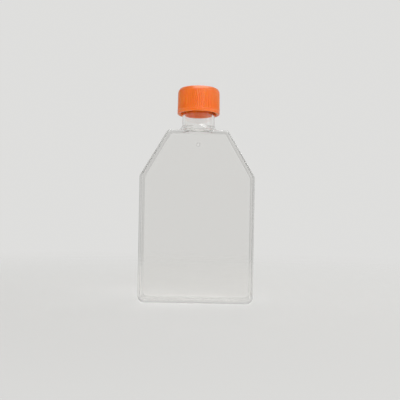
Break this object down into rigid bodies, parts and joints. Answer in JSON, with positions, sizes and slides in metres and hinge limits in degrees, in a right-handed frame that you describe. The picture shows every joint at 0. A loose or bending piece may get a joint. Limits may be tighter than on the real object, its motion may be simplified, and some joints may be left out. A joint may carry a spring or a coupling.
{
  "type": "cell culture flask",
  "caption": "Flat clear rectangular culture flask with a canted screw neck and an orange vented screw cap.",
  "frame": {"origin": "middle of the footprint that the flask stands on, at the end wall's outside", "axes": "+Z along the flask towards the cap, +X across it, growth side facing -Y and top plate facing +Y"},
  "size_m": [0.085, 0.037, 0.1613],
  "materials": {
    "clear_polystyrene": "water-clear moulded polystyrene, polished both sides",
    "orange_cap": "opaque bright orange moulded polyethylene, soft satin gloss",
    "membrane": "matt white water-repellent filter film"
  },
  "bodies": {
    "flask": {"flask_body": "clear_polystyrene", "growth_plate": "clear_polystyrene"},
    "vent": {"vent_membrane": "membrane"},
    "cap": {"cap": "orange_cap"}
  },
  "joints": [
    {"name": "cap_lift", "type": "slide", "parent": "flask", "child": "vent", "axis": [0, 0.1305, 0.9914], "range_m": [0, 0.006]},
    {"name": "cap_turn", "type": "hinge", "parent": "vent", "child": "cap", "pos_m": [0, -0.00165, 0.128], "axis": [0, 0.1305, 0.9914], "range_deg": [0, 540]}
  ],
  "couplings": [
    {"joint": "cap_lift", "follows": "cap_turn", "m_per_rad": 0.00063662}
  ]
}
